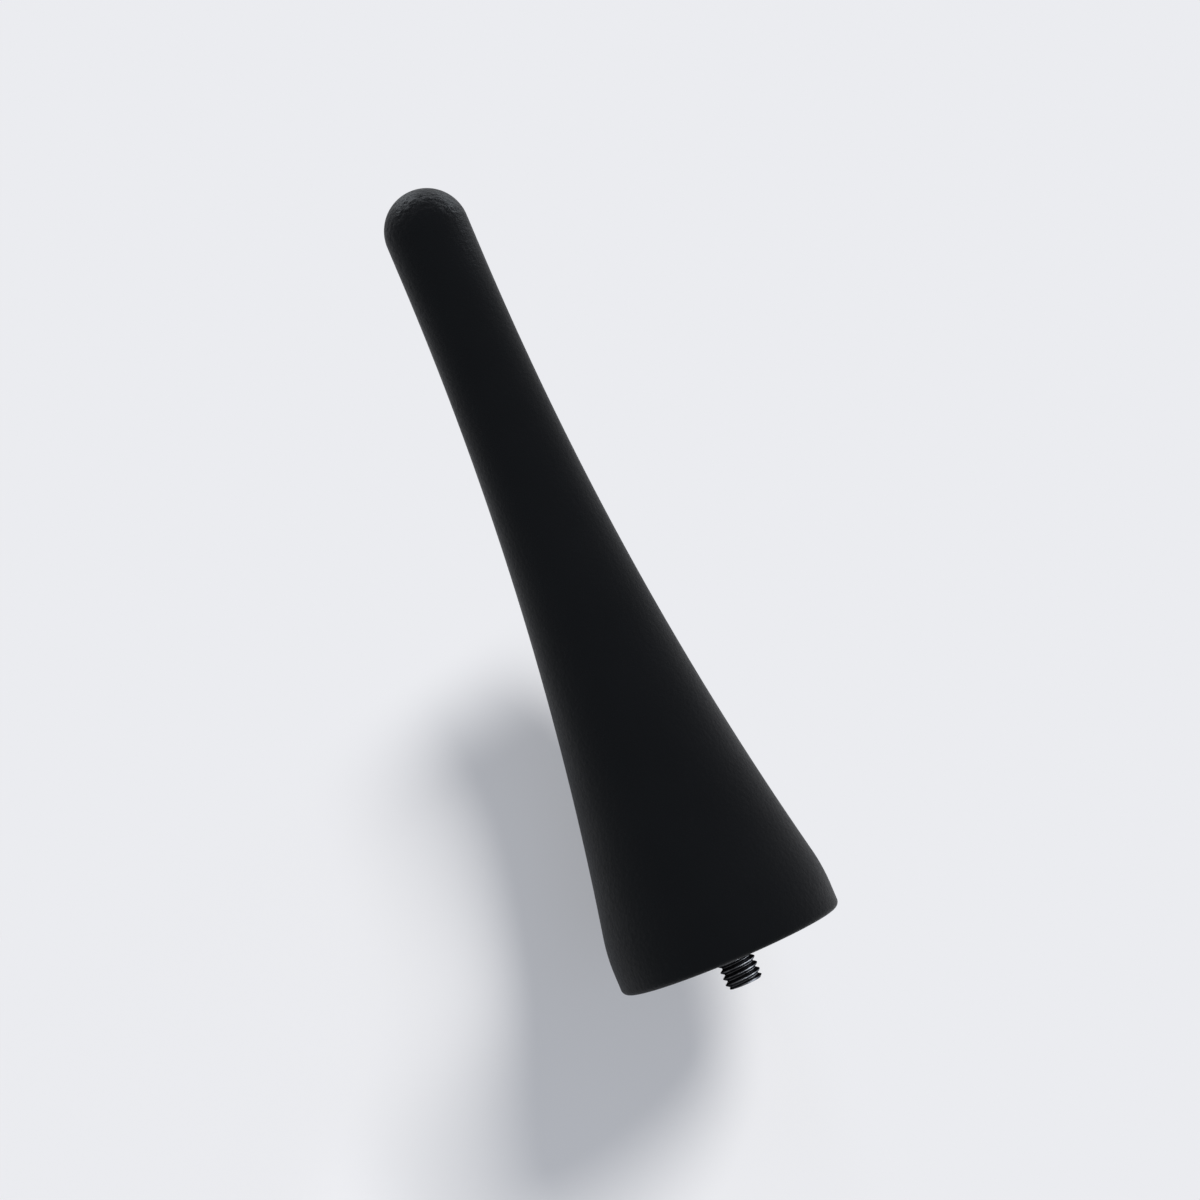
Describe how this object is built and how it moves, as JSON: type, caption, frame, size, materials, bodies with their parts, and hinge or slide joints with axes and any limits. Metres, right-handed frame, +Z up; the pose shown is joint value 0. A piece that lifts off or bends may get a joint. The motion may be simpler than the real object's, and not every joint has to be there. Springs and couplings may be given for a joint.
{
  "type": "car mast aerial",
  "caption": "Short car roof aerial: a soft black moulded mast with a domed tip, sweeping out to a round seat, wound coil inside, screwed down by a metal stud.",
  "frame": {"origin": "on the mast's axis, in the plane of the seat that rests on the roof base", "axes": "+Z runs up the mast from the seat to the domed tip; the stud points along -Z; X and Y are free round the axis, and one rib of the foot core lies along +X"},
  "size_m": [0.0244, 0.0244, 0.0898],
  "materials": {
    "sheath": "moulded black elastomer with a fine spark-eroded grain",
    "foot_core": "glass-filled nylon, moulded",
    "threaded_stud": "turned, black plated",
    "coil_former": "pultruded glass fibre",
    "aerial_coil": "enamelled copper wire",
    "shrink_sleeve": "heat-shrunk tube",
    "solder_joint": "bright solder",
    "former_cap": "natural nylon, moulded"
  },
  "bodies": {
    "root": {"sheath": "sheath", "foot_core": "foot_core", "threaded_stud": "threaded_stud", "coil_former": "coil_former", "aerial_coil": "aerial_coil", "shrink_sleeve": "shrink_sleeve", "solder_joint": "solder_joint", "former_cap": "former_cap"}
  },
  "joints": []
}
